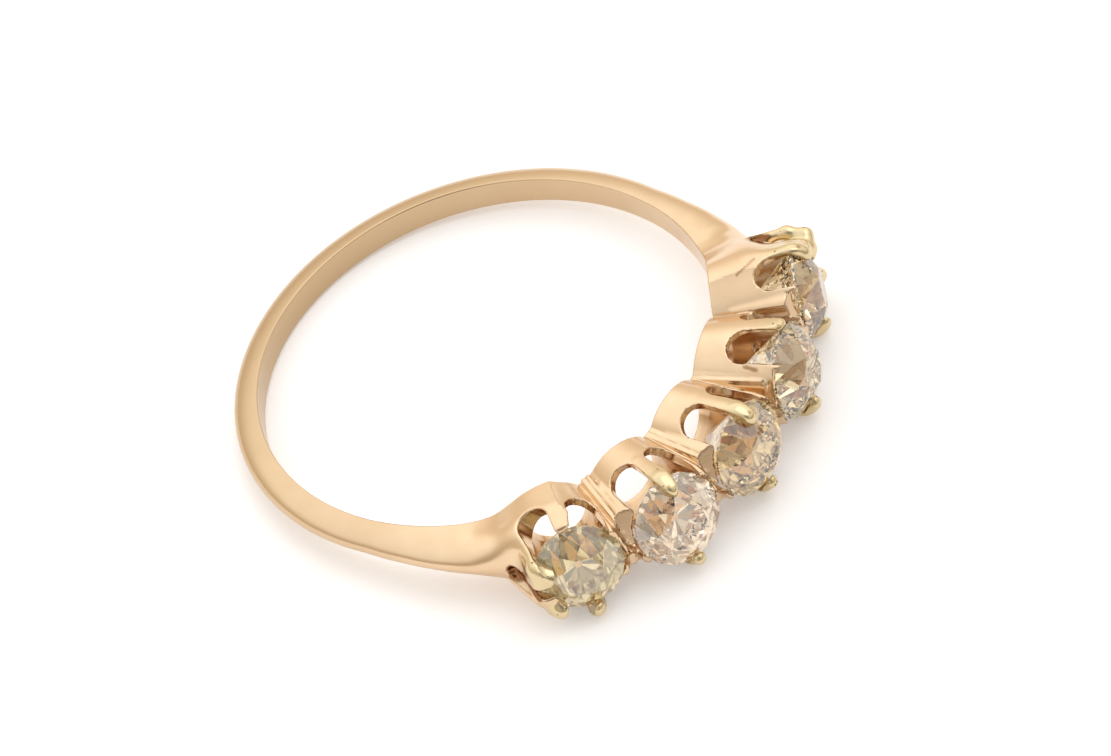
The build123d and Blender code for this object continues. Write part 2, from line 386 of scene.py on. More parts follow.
# %% Shape the claws
# Heights at which worn claws end, by place and index of the claw
worn_claws = {(-2, 0): 2.75, (1, 0): 3.15}

# Round wire claws beside the shoulders. Columns: place, index, heights of the bends above the
# finger from foot to tip, then their distances from the cup's axis
wire_claws = [
    (-2, 5, (2.3, 3.1, 3.6), (1.70, 1.68, 1.05)),
    (2, 1, (1.5, 2.9, 3.55, 3.6), (2.3, 2.38, 2.12, 1.6)),
    (2, 2, (1.3, 3.2, 3.62), (1.95, 2.10, 1.85)),
]
wire_foot_radius = 0.2
wire_tip_radius = 0.29
wire_fillet = 0.2

# Thickness of the claws whose ends are larger or smaller than the others', by place and index
claw_thickness = {(-2, 3): 1.3, (-2, 4): 1.5, (0, 3): 0.9, (1, 3): 0.9, (2, 3): 0.95}

# A rounded end bends at some distance inwards of the rim. Its foot and tip lean in further, and
# its upper half follows most of the way where a tipped stone lies higher or lower
finger_inset = 0.28
foot_lean, tip_lean = 0.3, 0.2
foot_level, bend_level, tip_level = 1.5, 3.15, 3.52
shin_radius, tip_radius = 0.24, 0.26
finger_fillet = 0.12
finger_follows = 0.85

# How far the file reaches to the sides of a claw, how far past the rim, and where it starts
file_half_width = 1.5 * claw_width
file_reach = 0.5
file_start = 0.4


def stone_rise(place, angle):
    """How much higher than usual the girdle of a tipped stone lies beside a claw."""
    share, tip, lift = stones[place]
    return lift - share * stone_radius * sin(radians(tip)) * cos(radians(angle))


def finger_of_gold(height, along, across, rim, angle, place, thickness):
    """Distance to the rounded end of a claw that bends over the stone."""
    outwards, sideways = claw_terms(along, across, angle)
    points = np.stack([outwards, sideways, height], axis=-1)
    rise = finger_follows * stone_rise(place, angle)
    inwards = rim - finger_inset
    bend = (inwards, 0, bend_level + rise)
    shin = rod(points, (inwards - foot_lean, 0, foot_level), bend, shin_radius * thickness)
    tip = rod(points, bend, (inwards - tip_lean, 0, tip_level + rise), tip_radius * thickness)
    return join(shin, tip, finger_fillet)


def wire_claw(height, along, across, angle, levels, distances):
    """Distance to a bent round claw that stands against the wall of an end cup."""
    outwards, sideways = claw_terms(along, across, angle)
    points = np.stack([outwards, sideways, height], axis=-1)
    bends = [(far, 0, level) for far, level in zip(distances, levels)]
    radii = np.linspace(wire_foot_radius, wire_tip_radius, len(bends))
    shape = rod(points, *bends[:2], *radii[:2])
    for first in range(1, len(bends) - 1):
        piece = rod(points, *bends[first : first + 2], *radii[first : first + 2])
        shape = join(shape, piece, wire_fillet)
    return shape


def slant_distance(height, along, across, rim, angle):
    """Distance to the file that takes the top off a claw beside the next cup."""
    beside = 90 if sin(radians(angle)) > 0 else 270
    outwards, sideways = claw_terms(along, across, beside + side_claw_turn * (angle - beside))
    turn = radians(side_claw_slope)
    slope = (height - side_claw_foot) * cos(turn) - (rim - outwards) * sin(turn)
    reach = np.maximum(np.abs(sideways) - file_half_width, outwards - rim - file_reach)
    top = np.maximum(girdle_height - height, file_start - outwards)
    return np.maximum(np.minimum(-slope, top), reach)


def wear_distance(height, along, across, angle, level):
    """Distance to the space above a worn claw, which ends at this level."""
    outwards, sideways = claw_terms(along, across, angle)
    return np.maximum.reduce([level - height, np.abs(sideways) - claw_width, file_start - outwards])


print(len(wire_claws), "claws of round wire,", len(worn_claws), "worn short")

# %% [markdown]
# ## The webs
#
# Where two cups meet, one thick thread of solder and three thin ones run from the finger up to the
# slanted claws, on both faces of the band. They are rods in the field. The fillet between the
# threads is much narrower than the one along the walls, which leaves fine dark lines.

# %% Lay the webs
# Webs between cups. Columns: place of the first cup, turn of the foot and of the head in degrees
webs = [(-2, 0.0, 0.0), (-1, 0.0, 0.7), (0, 0.5, 1.9), (1, 3.4, 2.9)]

# Threads of a web. Columns: radius, how far aside of the middle and how far above the web's line
web_threads = [(0.30, 0.0, -0.08), (0.10, 0.08, 0.18), (0.10, 0.29, 0.16), (0.08, -0.12, 0.15)]
web_base_rise = 0.72
web_top_rise = 0.95
web_foot = -0.3
web_height = 2.75
thread_fillet = 0.03


def web_point(place, turn, rise, level, aside):
    """A point of a web, some way aside of the middle between two cups."""
    angle = radians((place + 0.5) * cup_pitch + turn)
    radius = finger_radius + level
    x = radius * cos(angle) - aside * sin(angle)
    y = radius * sin(angle) + aside * cos(angle)
    return (x, y, rise)


def web_distance(points, web, side):
    """Distance to the threads of solder of one web, on one face of the band."""
    place, foot_turn, head_turn = web
    threads = []
    for radius, aside, lift in web_threads:
        foot = web_point(place, foot_turn, side * (web_base_rise + lift), web_foot, aside)
        head = web_point(place, head_turn, side * (web_top_rise + lift), web_height, aside)
        threads.append(rod(points, foot, head, radius))
    return join(threads[0], np.minimum.reduce(threads[1:]), thread_fillet)


print(len(webs), "webs of", len(web_threads), "threads on each face")

# %% [markdown]
# ## Filed heads
#
# Three webs end in a lump of solder that was filed flat, and the flats glint in one direction. A
# lump is made of three tapered posts side by side, and all the metal above the flat is cut away
# within their outline, as a file would do. A plain rod cut across would look like a pipe.

# %% Give three webs a head
# Columns: place of the first cup, how far aside of the middle, level of the flat
web_heads = [(-2, 0.28, 2.95), (-1, 0.17, 2.95), (1, -0.2, 3.05)]

# Posts of a head. Columns: how far aside, rise above the middle of the band, radius at the top
head_posts = [(0.0, 1.08, 0.45), (-0.05, 0.72, 0.40), (-0.12, 0.38, 0.30)]
post_foot, post_top = 0.8, 4.2
post_foot_radius = 0.05
post_lean = 0.1
post_fillet = 0.2

# Where a flat faces: outwards, towards the next cup and towards the upper face
head_normal = (0.88, -0.30, 0.36)


def head_terms(points, head):
    """Distance to the posts of a web's head, and to the flat that was filed on it."""
    place, aside, level = head
    head_turn = next(web[2] for web in webs if web[0] == place)
    posts = []
    for further, rise, radius in head_posts:
        foot = web_point(place, head_turn, rise - post_lean, post_foot, aside + further)
        top = web_point(place, head_turn, rise, post_top, aside + further)
        posts.append(rod(points, foot, top, post_foot_radius, radius))
    turn = radians((place + 0.5) * cup_pitch + head_turn)
    outwards = points[:, 0] * cos(turn) + points[:, 1] * sin(turn) - finger_radius - level
    sideways = points[:, 1] * cos(turn) - points[:, 0] * sin(turn) - aside
    flat = np.stack([outwards, sideways, points[:, 2] - head_posts[1][1]], axis=-1) @ head_normal
    return join(join(posts[0], posts[1], post_fillet), posts[2], post_fillet), flat


print(len(web_heads), "heads of", len(head_posts), "posts each")

# %% [markdown]
# ## Grooves and scars
#
# Two grooves run beside claws near the shoulders, one of them with a ridge of gold below it. They
# are round tools along a line, and a line is easiest to place on a cup by height, angle and
# distance from its axis. The scars of wear are lines too. They are too fine for the mesh, so they
# only give the finish its dark spots.

# %% Follow a line on a cup
# Grooves beside two claws. Columns: place, height, angle and distance from the cup's axis at both
# ends, radius
grooves = [
    (-2, (2.0, 270, 2.2), (3.5, 268, 1.86), 0.22),
    (2, (1.75, 62, 2.35), (2.9, 50, 2.15), 0.14),
]

# The ridge of gold below the first groove, given like the grooves
ridges = [(-2, (1.9, 261, 2.27), (2.97, 241, 1.89), 0.2)]

# Scratches, gashes and pits, given like the grooves
scars = [
    (2, (1.10, -9, 1.80), (1.47, -3, 1.91), 0.02),
    (2, (1.47, -3, 1.91), (1.79, 6, 1.92), 0.02),
    (1, (1.99, -41, 1.88), (2.43, -44, 1.94), 0.05),
    (0, (3.51, 6, 1.83), (3.52, 6, 1.83), 0.05),
    (-1, (3.47, 0, 1.83), (3.48, 0, 1.83), 0.05),
    (1, (2.96, 8, 1.97), (3.02, 8, 1.97), 0.05),
    (2, (3.41, 11, 1.90), (3.45, 11, 1.90), 0.05),
]


def line_distance(points, line):
    """Distance to a round line on a cup, given by height, angle and distance at both ends."""
    place, start, end, radius = line
    height, along, across = cup_terms(points, place)
    ends = []
    for level, angle, far in (start, end):
        ends.append((level, far * sin(radians(angle)), far * cos(radians(angle))))
    return rod(np.stack([height, along, across], axis=-1), *ends, radius)


print(len(grooves), "grooves,", len(ridges), "ridge and", len(scars), "scars")

# %% [markdown]
# ## All the gold
#
# The real work went in this order: cups onto the shank, solder between them, then files and
# burrs. The field keeps it. The end cups are joined to the hoop first, with a wide fillet that
# makes the shoulders. The webs and their heads follow. Then the last notches, the wire claws, the
# ridge and the grooves are made, the hollows and seats are cut, and last of all the bore. A cup
# only matters near itself, so each step works on the points near its cup, which keeps it quick.

# %% Shape one cup with its claws
notch_edge = 0.05
claw_edge = 0.14
claw_edge_levels = (2.2, 3.0)
worn_edge = 0.25
claw_fillet = 0.25
filed_edge = 0.03


def cup_with_claws(terms, place, base, rim, notch_share):
    """Distance to one cup with its claws, still without the hollow inside it."""
    shape = cup_distance(*terms, base, rim)
    edge = notch_edge + claw_edge * ease(terms[0], *claw_edge_levels)
    for notch in notches_of(place, rim, notch_share):
        if not notch[3]:
            shape = cut(shape, notch_distance(*terms, rim, notch), edge)
    for index, angle in enumerate(claw_angles[place]):
        if (place, index) in worn_claws:
            shape = cut(shape, wear_distance(*terms, angle, worn_claws[place, index]), worn_edge)
        elif is_side_claw(place, angle):
            shape = cut(shape, slant_distance(*terms, rim, angle), filed_edge)
        else:
            thickness = claw_thickness.get((place, index), 1.0)
            finger = finger_of_gold(*terms, rim, angle, place, thickness)
            shape = join(shape, finger, claw_fillet)
    return shape


near_cup = 3.4
near_floor = -1.5
end_cup_fillet = 1.2
cup_fillet = 0.05


def join_cup(metal, points, cup):
    """Join a cup to the metal. Returns which points are near it, their terms and its rim."""
    place, base_share, rim_share, notch_share, stretch = cup
    height, along, across = cup_terms(points, place)
    chosen = (height > near_floor) & (np.abs(along) < near_cup)
    terms = cup_terms(points[chosen], place)
    longer = np.where(terms[1] > 0, terms[1] / (1 + stretch), terms[1])
    base, rim = base_share * cup_base_radius, rim_share * cup_rim_radius
    shape = cup_with_claws((terms[0], longer, terms[2]), place, base, rim, notch_share)
    fillet = end_cup_fillet if abs(place) == last_place else cup_fillet
    metal[chosen] = join(metal[chosen], shape, fillet)
    return chosen, terms, rim


print("fillets at the cups:", end_cup_fillet, "mm at the shoulders,", cup_fillet, "mm elsewhere")

# %% Solder the webs and their heads
web_fillet = 0.08
web_depth = 0.6
head_fillet = 0.18
head_edge = 0.04
head_margin = 0.1
head_floor = -0.3


def join_web(metal, points, web, near_cups):
    """Join a web to the metal on both faces, with its top filed like the claws beside it."""
    first_cup = web[0]
    outside = np.hypot(points[:, 0], points[:, 1]) > finger_radius - web_depth
    chosen = near_cups[first_cup][0] & outside
    for side in (1, -1):
        shape = web_distance(points[chosen], web, side)
        for place in (first_cup, first_cup + 1):
            terms = cup_terms(points[chosen], place)
            for angle in claw_angles[place]:
                beside = (place - first_cup - 0.5) * sin(radians(angle)) < 0
                if is_side_claw(place, angle) and beside and side * cos(radians(angle)) > 0:
                    slant = slant_distance(*terms, near_cups[place][2], angle)
                    shape = cut(shape, np.maximum(slant, web_height - terms[0]), filed_edge)
        metal[chosen] = join(metal[chosen], shape, web_fillet)


def join_head(metal, points, head, near_cups):
    """Join the head of a web to the metal, and file all the metal there down to its flat."""
    chosen = near_cups[head[0]][0] & (points[:, 2] > head_floor)
    posts, flat = head_terms(points[chosen], head)
    shape = join(metal[chosen], keep_inside(posts, flat, head_edge), head_fillet)
    metal[chosen] = cut(shape, np.maximum(posts - head_margin, -flat), head_edge)


print("fillets along the webs:", web_fillet, "mm, at their heads:", head_fillet, "mm")

# %% Cut and hollow each cup
outer_notch_edge = 0.1
ridge_fillet = 0.15
groove_edge = 0.08
hollow_edge = 0.05
mouth_radius = 1.2


def finish_cup(metal, points, cup, near_cups):
    """Make what comes last on a cup: outer notches, wire claws, ridge, grooves, hollow and seat."""
    place, base_share, rim_share, notch_share, stretch = cup
    chosen, terms, rim = near_cups[place]
    shape = metal[chosen]
    for notch in notches_of(place, rim, notch_share):
        if notch[3]:
            shape = cut(shape, notch_distance(*terms, rim, notch), outer_notch_edge)
    for wire_place, index, levels, distances in wire_claws:
        if wire_place == place:
            wire = wire_claw(*terms, claw_angles[place][index], levels, distances)
            shape = join(shape, wire, wire_fillet)
    for ridge in ridges:
        if ridge[0] == place:
            shape = join(shape, line_distance(points[chosen], ridge), ridge_fillet)
    for groove in grooves:
        if groove[0] == place:
            shape = cut(shape, line_distance(points[chosen], groove), groove_edge)
    hollow = hollow_distance(*terms, base_share, rim)
    mouth = np.maximum(np.hypot(terms[1], terms[2]) - mouth_radius, girdle_height - terms[0])
    shape = cut(shape, np.minimum(hollow, mouth), hollow_edge)
    metal[chosen] = np.maximum(shape, -seat_distance(*terms, place))


print("above a stone, the gold stays clear of a mouth of", 2 * mouth_radius, "mm")

# %% Put the field together
bore_edge = 0.07


def gold_distance(points):
    """Distance to all the gold of the band."""
    metal = hoop_distance(points)

    # By place of a cup: which points are near it, their terms and the radius of its rim
    near_cups = {}
    for cup in sorted(cups, key=lambda cup: -abs(cup[0])):
        near_cups[cup[0]] = join_cup(metal, points, cup)
    for web in webs:
        join_web(metal, points, web, near_cups)
    for head in web_heads:
        join_head(metal, points, head, near_cups)
    for cup in cups:
        finish_cup(metal, points, cup, near_cups)
    bore = finger_radius - np.hypot(points[:, 0], points[:, 1])
    return keep_inside(metal, bore, bore_edge)


test_points = np.array([[-9.0, 0, 0], [10.0, 0, 1.4], [0, 0, 0.0]])
print("distances to the gold:", gold_distance(test_points).round(2), "mm")

# %% [markdown]
# ## From field to mesh
#
# The field is sampled on a grid and a mesh is laid where it changes sign. The grid is bent
# round the finger, so it runs along the shank and meets the flat inside of the band squarely.
# It is fine at the head, where the claws are, and coarse at the plain back. Each grid cell that
# the surface passes through gets one point, and cells that share a crossed edge are joined by
# a face: this way of meshing is called surface nets.

# %% Sample the field on a bent grid
grid_step = 0.078
row_radius = 10.6
head_step = degrees(grid_step / row_radius)
back_step = 3 * head_step
head_half = 60.0
inner_margin, outer_margin = 0.2, 0.9
half_height = 2.35
head_angles = np.linspace(-head_half, head_half, round(2 * head_half / head_step) + 1)
back_count = round((360 - 2 * head_half) / back_step)
back_angles = np.linspace(head_half, 360 - head_half, back_count + 1)[1:-1]
grid_angles = np.radians(np.concatenate([head_angles, back_angles]))
outermost = finger_radius + claw_height + outer_margin
grid_radii = np.arange(finger_radius - inner_margin, outermost, grid_step)
grid_levels = np.arange(-half_height, half_height, grid_step)


def bent(angles, radii, levels):
    """Points at these angles, radii and levels about the finger axis."""
    return np.stack([radii * np.cos(angles), radii * np.sin(angles), levels], axis=-1)


corners = np.meshgrid(grid_angles, grid_radii, grid_levels, indexing="ij")
shape = corners[0].shape
field = gold_distance(bent(*[part.ravel() for part in corners])).reshape(shape)
print("grid of", shape, "points,", int((field < 0).sum()), "of them in the gold")

# %% Find the cells where the field changes sign
wrapped = np.concatenate([field, field[:1]])
wrapped_angles = np.append(grid_angles, grid_angles[0] + 2 * pi)
inside = wrapped < 0
sizes = np.array(wrapped.shape) - 1
count = np.zeros(sizes, int)
for i in (0, 1):
    for j in (0, 1):
        for k in (0, 1):
            count += inside[i : i + sizes[0], j : j + sizes[1], k : k + sizes[2]]
cells = np.argwhere((count > 0) & (count < 8))
number = np.full(sizes, -1)
number[tuple(cells.T)] = np.arange(len(cells))
print(len(cells), "cells hold a piece of the surface")

# %% Put a point in each of them
total = np.zeros((len(cells), 3))
crossings = np.zeros(len(cells))
for axis in range(3):
    others = [other for other in range(3) if other != axis]
    for first in (0, 1):
        for second in (0, 1):
            near_corner = cells.copy()
            near_corner[:, others[0]] += first
            near_corner[:, others[1]] += second
            far_corner = near_corner.copy()
            far_corner[:, axis] += 1
            low, high = wrapped[tuple(near_corner.T)], wrapped[tuple(far_corner.T)]
            crossed = (low < 0) != (high < 0)
            share = np.where(crossed, low / np.where(crossed, low - high, 1), 0)
            place_in_grid = near_corner.astype(float)
            place_in_grid[:, axis] += share
            total[crossed] += place_in_grid[crossed]
            crossings += crossed
middle = total / crossings[:, None]
mesh_points = bent(
    np.interp(middle[:, 0], np.arange(len(wrapped_angles)), wrapped_angles),
    np.interp(middle[:, 1], np.arange(len(grid_radii)), grid_radii),
    np.interp(middle[:, 2], np.arange(len(grid_levels)), grid_levels),
)
print("crossed edges of a cell:", round(float(crossings.mean()), 1), "on average")

# %% Join the points by faces
faces = []
for axis in range(3):
    others = [other for other in range(3) if other != axis]
    start = [slice(None)] * 3
    end = [slice(None)] * 3
    start[axis], end[axis] = slice(0, -1), slice(1, None)
    changed = inside[tuple(start)] != inside[tuple(end)]
    edges = np.argwhere(changed)
    edges = edges[edges[:, 0] < sizes[0]]
    leaving = inside[tuple(edges.T)]
    loop = []
    for first, second in ((0, 0), (1, 0), (1, 1), (0, 1)):
        cell = edges.copy()
        cell[:, others[0]] -= first
        cell[:, others[1]] -= second
        cell[:, 0] %= sizes[0]
        loop.append(number[tuple(cell.T)])
    quads = np.stack(loop, axis=-1)
    flip = ~leaving if axis == 1 else leaving
    quads[flip] = quads[flip][:, ::-1]
    faces.append(quads)
faces = np.concatenate(faces)
print(len(mesh_points), "points and", len(faces), "faces")

# %% [markdown]
# ## Polish the mesh
#
# Each point is now near the surface but not on it, and polished metal shows the least unevenness.
# The field says how far away the surface is and in which direction, so a few steps along that
# direction put each point on it. The same direction is the surface's exact normal. It is stored
# with the mesh, so that reflections run as smoothly as on the real metal.

# %% Move the points onto the surface
rounds = 3
least_slope = 0.2
longest_move = 0.6 * grid_step
fine_reach = 0.004
normal_reach = 0.012
tiny = 1e-9


def steepest(points, reach):
    """The direction in which the distance to the gold grows fastest, at each point."""
    slopes = []
    for axis in range(3):
        step = np.zeros(3)
        step[axis] = reach
        slopes.append(gold_distance(points + step) - gold_distance(points - step))
    return np.stack(slopes, axis=-1) / (2 * reach)


for turn in range(rounds):
    slope = steepest(mesh_points, fine_reach)
    squared = np.maximum((slope**2).sum(axis=1), least_slope)
    move = -(gold_distance(mesh_points) / squared)[:, None] * slope
    length = np.linalg.norm(move, axis=1, keepdims=True)
    mesh_points = mesh_points + move * np.minimum(1, longest_move / np.maximum(length, tiny))
slope = steepest(mesh_points, normal_reach)
normals = slope / np.maximum(np.linalg.norm(slope, axis=1, keepdims=True), tiny)
astray = np.abs(gold_distance(mesh_points))
print("furthest point from the surface:", round(float(astray.max()), 3), "mm")

# %% [markdown]
# ## Marks for the finish
#
# Four things about a point of the surface decide its finish. The claws were repaired at some time
# with a greener gold than the rosy band. The insides of the cups can't be reached with a cloth,
# so they are brown. The filed flats are a little duller, and grime stays in the grooves and
# scars. Noise can't know where a claw or a scratch is, so each mark is worked out from the same
# sizes as the shape, and stored with the mesh as an attribute that the gold's material reads.

# %% Mark the greener claws and the hollows
own_reach = 0.9
own_floor = -0.2
broken_stub = (-2, 0)
claw_inner = 0.5
claw_levels, claw_sides = (1.6, 3.0), (0.3, 0.8)
hollow_depths, hollow_top, hollow_bottom = (0.06, 0.4), (2.6, 3.2), (0.0, 0.3)

claw_tone = np.zeros(len(mesh_points))
hollow_tone = np.zeros(len(mesh_points))
for place, base_share, rim_share, notch_share, stretch in cups:
    height, along, across = cup_terms(mesh_points, place)
    rim = rim_share * cup_rim_radius
    outwards = np.hypot(along, across)
    own = (outwards < rim + own_reach) & (height > own_floor)
    for index, angle in enumerate(claw_angles[place]):
        if is_side_claw(place, angle) or (place, index) == broken_stub:
            continue
        towards, sideways = claw_terms(along, across, angle)
        tone = ease(height, *claw_levels) * (1 - ease(np.abs(sideways), *claw_sides))
        claw_tone = np.where(own & (towards > claw_inner), np.maximum(claw_tone, tone), claw_tone)
    depth = wall_radius(height, base_share * cup_base_radius, rim) - outwards
    deep = ease(depth, *hollow_depths) * (1 - ease(height, *hollow_top)) * ease(height, *hollow_bottom)
    hollow_tone = np.where(own & (depth < rim), np.maximum(hollow_tone, deep), hollow_tone)
print("points on greener claws:", int((claw_tone > 0.5).sum()))
print("points in hollows:", int((hollow_tone > 0.5).sum()))

# %% Mark the filed flats and the grime
flat_half = 0.02
grime_fade = 0.05

filed_tone = np.zeros(len(mesh_points))
for head in web_heads:
    posts, flat = head_terms(mesh_points, head)
    filed_tone[(np.abs(flat) < flat_half) & (posts < head_margin)] = 1.0

# Columns: lines, strength of their grime, how far beside a line it is at its darkest
grime_tone = np.zeros(len(mesh_points))
for lines, strength, reach in ((grooves, 1.0, 0.06), (scars, 0.75, 0.0)):
    for line in lines:
        dark = 1 - ease(line_distance(mesh_points, line), reach, reach + grime_fade)
        grime_tone = np.maximum(grime_tone, strength * dark)
print("points on filed flats:", int(filed_tone.sum()), "and in grime:", int((grime_tone > 0.5).sum()))

# %% Make the piece of gold
gold_mesh = bpy.data.meshes.new("gold_band")
gold_mesh.from_pydata(lay_down(mesh_points).tolist(), [], faces.tolist())
gold_mesh.update()
gold_mesh.polygons.foreach_set("use_smooth", np.ones(len(faces), bool))
tipped_normals = lay_down(normals) * 1000
gold_mesh.normals_split_custom_set_from_vertices(tipped_normals.tolist())
marks = {
    "claw_tone": claw_tone,
    "hollow_tone": hollow_tone,
    "filed_tone": filed_tone,
    "grime_tone": grime_tone,
}
for name, values in marks.items():
    attribute = gold_mesh.attributes.new(name, "FLOAT", "POINT")
    attribute.data.foreach_set("value", values.astype(np.float32))
gold_band = bpy.data.objects.new("gold_band", gold_mesh)
bpy.context.scene.collection.objects.link(gold_band)
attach(gold_band, "root")
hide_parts("band")
print("gold_band carries the marks", ", ".join(marks))

# %% Measure the gold
volume = 0.0
corner_points = mesh_points[faces]
for first, second, third in ((0, 1, 2), (0, 2, 3)):
    a, b, c = corner_points[:, first], corner_points[:, second], corner_points[:, third]
    volume += float((a * np.cross(b, c)).sum() / 6)
print("gold_band:", 2 * len(faces), "triangles, volume", round(volume, 1), "mm3")

# %% [markdown]
# ## Materials
#
# A maker names a colour as a hex value on a screen. Light adds up in linear numbers, so
# one function turns the first into the second. Another adds a node with its settings and links.

# %% Helpers for materials


def linear(hex_colour):
    """An sRGB hex colour as linear red, green, blue and alpha."""
    values = [int(hex_colour[i : i + 2], 16) / 255 for i in (1, 3, 5)]
    return [v / 12.92 if v <= 0.04045 else ((v + 0.055) / 1.055) ** 2.4 for v in values] + [1.0]


def add(tree, kind, inputs=None, **settings):
    """Add a node with its settings. Its inputs are given by name or number, as values or as outputs."""
    node = tree.nodes.new(kind)
    for name, value in settings.items():
        setattr(node, name, value)
    for key, value in (inputs or {}).items():
        if isinstance(value, bpy.types.NodeSocket):
            tree.links.new(value, node.inputs[key])
        else:
            node.inputs[key].default_value = value
    return node


def new_material(name):
    """A material with an empty node tree, and that tree."""
    material = bpy.data.materials.new(name)
    material.use_nodes = True
    material.node_tree.nodes.clear()
    return material, material.node_tree


print("linear value of mid grey:", round(linear("#808080")[0], 3))

# %% [markdown]
# ## Worn 14 karat gold
#
# Gold mirrors its surroundings and tints them, so its material is a metal with a warm colour and
# a low roughness. Decades of polishing and wear leave faint waves, hairlines of a hundredth of a
# millimetre, and a few pits where the gold of the claws is porous. The hairlines would be too fine
# to show, so they are drawn about three times as wide. Over the rosy colour come painted shade
# towards the back of the shank, the greener claws, the filed flats, the brown hollows and the
# grime, each where its mark says.

# %% Mix the gold
gold, tree = new_material("worn_14_karat_gold")
place_on_band = add(tree, "ShaderNodeTexCoord").outputs["Object"]
claw_mark = add(tree, "ShaderNodeAttribute", attribute_name="claw_tone").outputs["Fac"]
hollow_mark = add(tree, "ShaderNodeAttribute", attribute_name="hollow_tone").outputs["Fac"]
filed_mark = add(tree, "ShaderNodeAttribute", attribute_name="filed_tone").outputs["Fac"]
grime_mark = add(tree, "ShaderNodeAttribute", attribute_name="grime_tone").outputs["Fac"]
per_mm = 1000.0
clouds = add(
    tree,
    "ShaderNodeTexNoise",
    {"Vector": place_on_band, "Scale": 0.45 * per_mm, "Detail": 4.0, "Roughness": 0.55},
).outputs["Fac"]
cloud_share = add(
    tree,
    "ShaderNodeMapRange",
    {"Value": clouds, "From Min": 0.35, "From Max": 0.65, "To Min": 0.0, "To Max": 1.0},
).outputs["Result"]
mix_colour = {"data_type": "RGBA"}
colour_a, colour_b = 6, 7
rosy = add(
    tree,
    "ShaderNodeMix",
    {"Factor": cloud_share, colour_a: linear("#E3C8A6"), colour_b: linear("#DDBF9C")},
    **mix_colour,
).outputs[2]
towards_head = add(tree, "ShaderNodeSeparateXYZ", {"Vector": place_on_band}).outputs["X"]
# Painted shade: the gold turns darker from 6 mm on the head's side of the finger axis to the back of the
# shank
shank_shade_mark = add(
    tree,
    "ShaderNodeMapRange",
    {
        "Value": towards_head,
        "From Min": -9.0 / per_mm,
        "From Max": 6.0 / per_mm,
        "To Min": 1.0,
        "To Max": 0.0,
    },
).outputs["Result"]

# Painted shade on the back of the shank, greener claws, filed flats, brown hollows and dark grime,
# each over the ones before
shade_and_worn_tones = [
    (shank_shade_mark, "#C2A783"),
    (claw_mark, "#D8C59D"),
    (filed_mark, "#CCB090"),
    (hollow_mark, "#CFAE8A"),
    (grime_mark, "#8A5E3C"),
]
shaded_and_grimy = rosy
for mark, colour in shade_and_worn_tones:
    shaded_and_grimy = add(
        tree,
        "ShaderNodeMix",
        {"Factor": mark, colour_a: shaded_and_grimy, colour_b: linear(colour)},
        **mix_colour,
    ).outputs[2]
print("colours of gold:", len(shade_and_worn_tones) + 2)

# %% Add the pores
pore_size = 0.22
rare = 0.8
pores = add(
    tree,
    "ShaderNodeTexVoronoi",
    {"Vector": place_on_band, "Scale": per_mm / pore_size, "Randomness": 1.0},
    feature="F1",
)
pore_hole = add(
    tree,
    "ShaderNodeMapRange",
    {
        "Value": pores.outputs["Distance"],
        "From Min": 0.12,
        "From Max": 0.22,
        "To Min": 1.0,
        "To Max": 0.0,
    },
).outputs["Result"]
pore_choice = add(tree, "ShaderNodeSeparateColor", {"Color": pores.outputs["Color"]}).outputs[0]
pore_here = add(tree, "ShaderNodeMath", {0: pore_choice, 1: rare}, operation="GREATER_THAN").outputs[0]
pore_on_claw = add(tree, "ShaderNodeMath", {0: claw_mark, 1: pore_here}, operation="MULTIPLY").outputs[0]
pore = add(tree, "ShaderNodeMath", {0: pore_on_claw, 1: pore_hole}, operation="MULTIPLY").outputs[0]
pitted = add(
    tree,
    "ShaderNodeMix",
    {"Factor": pore, colour_a: shaded_and_grimy, colour_b: linear("#3A2A1A")},
    **mix_colour,
).outputs[2]
print("pores stand about", pore_size, "mm apart, where there are any")

# %% Add smudges, hairlines and waves
wave_depth = 0.04 / per_mm
hairline_depth = 0.01 / per_mm
pore_depth = 0.04 / per_mm

smudge = add(
    tree,
    "ShaderNodeMapRange",
    {"Value": clouds, "From Min": 0.3, "From Max": 0.7, "To Min": 0.16, "To Max": 0.24},
).outputs["Result"]
along_shank = add(tree, "ShaderNodeMapping", {"Vector": place_on_band, "Scale": (1, 0.15, 6)}).outputs[0]
hairlines = add(
    tree,
    "ShaderNodeTexNoise",
    {"Vector": along_shank, "Scale": 5.0 * per_mm, "Detail": 2.0},
).outputs["Fac"]
waves = add(
    tree,
    "ShaderNodeTexNoise",
    {"Vector": place_on_band, "Scale": 0.9 * per_mm, "Detail": 1.0},
).outputs["Fac"]
wave_bump = add(tree, "ShaderNodeBump", {"Height": waves, "Strength": 0.25, "Distance": wave_depth})
line_bump = add(
    tree,
    "ShaderNodeBump",
    {"Height": hairlines, "Strength": 0.12, "Distance": hairline_depth, "Normal": wave_bump.outputs[0]},
)
pore_bump = add(
    tree,
    "ShaderNodeBump",
    {"Height": pore, "Strength": 0.6, "Distance": pore_depth, "Normal": line_bump.outputs[0]},
    invert=True,
)
gold_shader = add(
    tree,
    "ShaderNodeBsdfPrincipled",
    {"Base Color": pitted, "Metallic": 1.0, "Roughness": smudge, "Normal": pore_bump.outputs[0]},
)
add(tree, "ShaderNodeOutputMaterial", {"Surface": gold_shader.outputs[0]})
gold_mesh.materials.append(gold)
print("gold:", len(tree.nodes), "nodes")

# %% [markdown]
# ## Old-cut diamond
#
# The stones come from the CAD as they are: flat facets with sharp edges, which is what a diamond
# is. Diamond bends light more than any other clear stone, with an index of 2.42. That alone makes
# some facets light up and others go dark, so nothing is painted on them. Each stone has a faint
# champagne tint of its own, and the first one is frosty with flaws.

# %% Mix the diamond
diamond_index = 2.417


